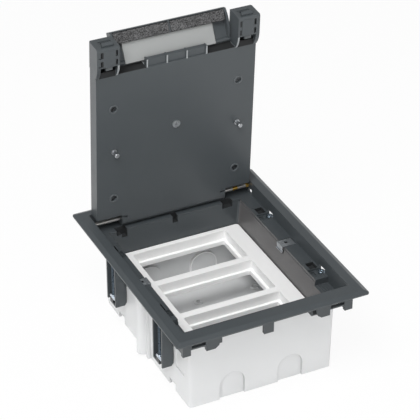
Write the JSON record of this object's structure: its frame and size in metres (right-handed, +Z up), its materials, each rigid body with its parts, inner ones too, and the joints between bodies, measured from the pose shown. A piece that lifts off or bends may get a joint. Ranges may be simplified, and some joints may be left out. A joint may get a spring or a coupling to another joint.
{
  "type": "floor socket box",
  "caption": "Rectangular floor box for a raised floor: hinged lid with cable flap and latches, module carrier, tapered well and screw clamps.",
  "frame": {"origin": "centre of the bounding box in plan, at the level of the feet under the back box", "axes": "+Z up out of the floor, +Y from the cable side towards the lid hinge, +X along the hinge"},
  "size_m": [0.2072, 0.256, 0.3132],
  "materials": {
    "graphite_plastic": "fine grained moulded, satin",
    "black_plastic": "moulded, satin",
    "light_plastic": "smooth moulded, satin",
    "white_plastic": "smooth moulded, satin",
    "grey_plastic": "smooth moulded, satin",
    "foam": "open cell foam, speckled",
    "zinc_steel": "zinc plated",
    "spring_steel": "drawn wire"
  },
  "bodies": {
    "base": {"trim_frame": "graphite_plastic", "back_box": "light_plastic", "module_carrier": "white_plastic", "box_screws": "zinc_steel", "carrier_clip_left": "zinc_steel", "carrier_clip_right": "zinc_steel", "clamp_guide_rear_right": "graphite_plastic", "clamp_guide_rear_left": "graphite_plastic", "clamp_guide_front_right": "graphite_plastic", "clamp_guide_front_left": "graphite_plastic"},
    "lid": {"lid_panel": "graphite_plastic", "lid_plate": "zinc_steel", "lid_screws": "zinc_steel", "lid_pegs": "zinc_steel", "hinge_pin_left": "zinc_steel", "hinge_pin_right": "zinc_steel", "latch_spring_left": "spring_steel", "latch_spring_right": "spring_steel"},
    "flap": {"flap_shell": "graphite_plastic", "flap_pins": "zinc_steel", "flap_plate": "grey_plastic", "foam_strip_left": "foam", "foam_strip_right": "foam"},
    "latch_left": {"latch_slider_left": "graphite_plastic"},
    "latch_right": {"latch_slider_right": "graphite_plastic"},
    "screw_rear_right": {"clamp_screw_rear_right": "zinc_steel"},
    "screw_rear_left": {"clamp_screw_rear_left": "zinc_steel"},
    "screw_front_right": {"clamp_screw_front_right": "zinc_steel"},
    "screw_front_left": {"clamp_screw_front_left": "zinc_steel"},
    "nut_rear_right": {"clamp_nut_rear_right": "black_plastic"},
    "nut_rear_left": {"clamp_nut_rear_left": "black_plastic"},
    "nut_front_right": {"clamp_nut_front_right": "black_plastic"},
    "nut_front_left": {"clamp_nut_front_left": "black_plastic"},
    "claw_rear_right": {"clamp_claw_rear_right": "zinc_steel"},
    "claw_rear_left": {"clamp_claw_rear_left": "zinc_steel"},
    "claw_front_right": {"clamp_claw_front_right": "zinc_steel"},
    "claw_front_left": {"clamp_claw_front_left": "zinc_steel"}
  },
  "joints": [
    {"name": "lid_hinge", "type": "hinge", "parent": "base", "child": "lid", "pos_m": [0, 0.1076, 0.094], "axis": [1, 0, 0], "range_deg": [-3.4, 86.5]},
    {"name": "flap_hinge", "type": "hinge", "parent": "lid", "child": "flap", "pos_m": [0, 0.10036, 0.2789], "axis": [1, 0, 0], "range_deg": [0, 30]},
    {"name": "latch_left_slide", "type": "slide", "parent": "lid", "child": "latch_left", "axis": [0, 0.0602, -0.9982], "range_m": [0, 0.004], "stiffness_N_per_m": 350, "springref_m": -0.003, "deforming": ["latch_spring_left"]},
    {"name": "latch_right_slide", "type": "slide", "parent": "lid", "child": "latch_right", "axis": [0, 0.0602, -0.9982], "range_m": [0, 0.004], "stiffness_N_per_m": 350, "springref_m": -0.003, "deforming": ["latch_spring_right"]},
    {"name": "screw_rear_right_turn", "type": "hinge", "parent": "base", "child": "screw_rear_right", "pos_m": [0.0892, 0.0565, 0.06], "axis": [0, 0, -1], "range_deg": [0, 18020]},
    {"name": "screw_rear_left_turn", "type": "hinge", "parent": "base", "child": "screw_rear_left", "pos_m": [-0.0892, 0.0565, 0.06], "axis": [0, 0, -1], "range_deg": [0, 18020]},
    {"name": "screw_front_right_turn", "type": "hinge", "parent": "base", "child": "screw_front_right", "pos_m": [0.0892, -0.0565, 0.06], "axis": [0, 0, -1], "range_deg": [0, 18020]},
    {"name": "screw_front_left_turn", "type": "hinge", "parent": "base", "child": "screw_front_left", "pos_m": [-0.0892, -0.0565, 0.06], "axis": [0, 0, -1], "range_deg": [0, 18020]},
    {"name": "nut_rear_right_climb", "type": "slide", "parent": "base", "child": "nut_rear_right", "axis": [0, 0, 1], "range_m": [0, 0.035]},
    {"name": "nut_rear_left_climb", "type": "slide", "parent": "base", "child": "nut_rear_left", "axis": [0, 0, 1], "range_m": [0, 0.035]},
    {"name": "nut_front_right_climb", "type": "slide", "parent": "base", "child": "nut_front_right", "axis": [0, 0, 1], "range_m": [0, 0.035]},
    {"name": "nut_front_left_climb", "type": "slide", "parent": "base", "child": "nut_front_left", "axis": [0, 0, 1], "range_m": [0, 0.035]},
    {"name": "claw_rear_right_swing", "type": "hinge", "parent": "nut_rear_right", "child": "claw_rear_right", "pos_m": [0.0892, 0.0565, 0.038], "axis": [0, 0, -1], "range_deg": [0, 90]},
    {"name": "claw_rear_left_swing", "type": "hinge", "parent": "nut_rear_left", "child": "claw_rear_left", "pos_m": [-0.0892, 0.0565, 0.038], "axis": [0, 0, -1], "range_deg": [0, 90]},
    {"name": "claw_front_right_swing", "type": "hinge", "parent": "nut_front_right", "child": "claw_front_right", "pos_m": [0.0892, -0.0565, 0.038], "axis": [0, 0, -1], "range_deg": [0, 90]},
    {"name": "claw_front_left_swing", "type": "hinge", "parent": "nut_front_left", "child": "claw_front_left", "pos_m": [-0.0892, -0.0565, 0.038], "axis": [0, 0, -1], "range_deg": [0, 90]}
  ],
  "couplings": [
    {"joint": "screw_rear_right_turn", "follows": "nut_rear_right_climb", "rad_per_m": 8976},
    {"joint": "screw_rear_left_turn", "follows": "nut_rear_left_climb", "rad_per_m": 8976},
    {"joint": "screw_front_right_turn", "follows": "nut_front_right_climb", "rad_per_m": 8976},
    {"joint": "screw_front_left_turn", "follows": "nut_front_left_climb", "rad_per_m": 8976}
  ]
}
